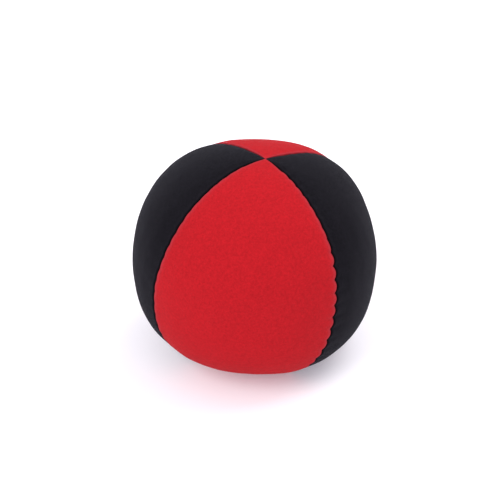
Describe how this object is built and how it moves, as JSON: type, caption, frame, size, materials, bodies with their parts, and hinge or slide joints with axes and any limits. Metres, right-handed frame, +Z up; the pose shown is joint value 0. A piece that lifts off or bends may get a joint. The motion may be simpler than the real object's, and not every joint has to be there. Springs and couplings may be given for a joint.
{
  "type": "juggling ball",
  "caption": "Beanbag juggling ball with a cover of knit gores, sewn edge to edge, in two alternating colours and filled with loose grain.",
  "frame": {"origin": "on the floor, at the middle of the ball's footprint", "axes": "+Z up, +X to the ball's right and -Y towards the viewer of its front red panel; the gores' axis leans a few degrees from +Z towards +X"},
  "size_m": [0.0672, 0.067, 0.0596],
  "materials": {
    "red_knit": "matte brushed stretch knit",
    "black_knit": "matte brushed stretch knit",
    "sewing_thread": "twisted polyester thread",
    "grain": "dry millet seed"
  },
  "bodies": {
    "root": {"panel_red_front": "red_knit", "panel_black_right": "black_knit", "panel_red_back": "red_knit", "panel_black_left": "black_knit", "needle_thread_front_right": "sewing_thread", "bobbin_thread_front_right": "sewing_thread", "needle_thread_back_right": "sewing_thread", "bobbin_thread_back_right": "sewing_thread", "needle_thread_back_left": "sewing_thread", "bobbin_thread_back_left": "sewing_thread", "needle_thread_front_left": "sewing_thread", "bobbin_thread_front_left": "sewing_thread", "closing_thread": "sewing_thread", "grain_filling": "grain"}
  },
  "joints": []
}
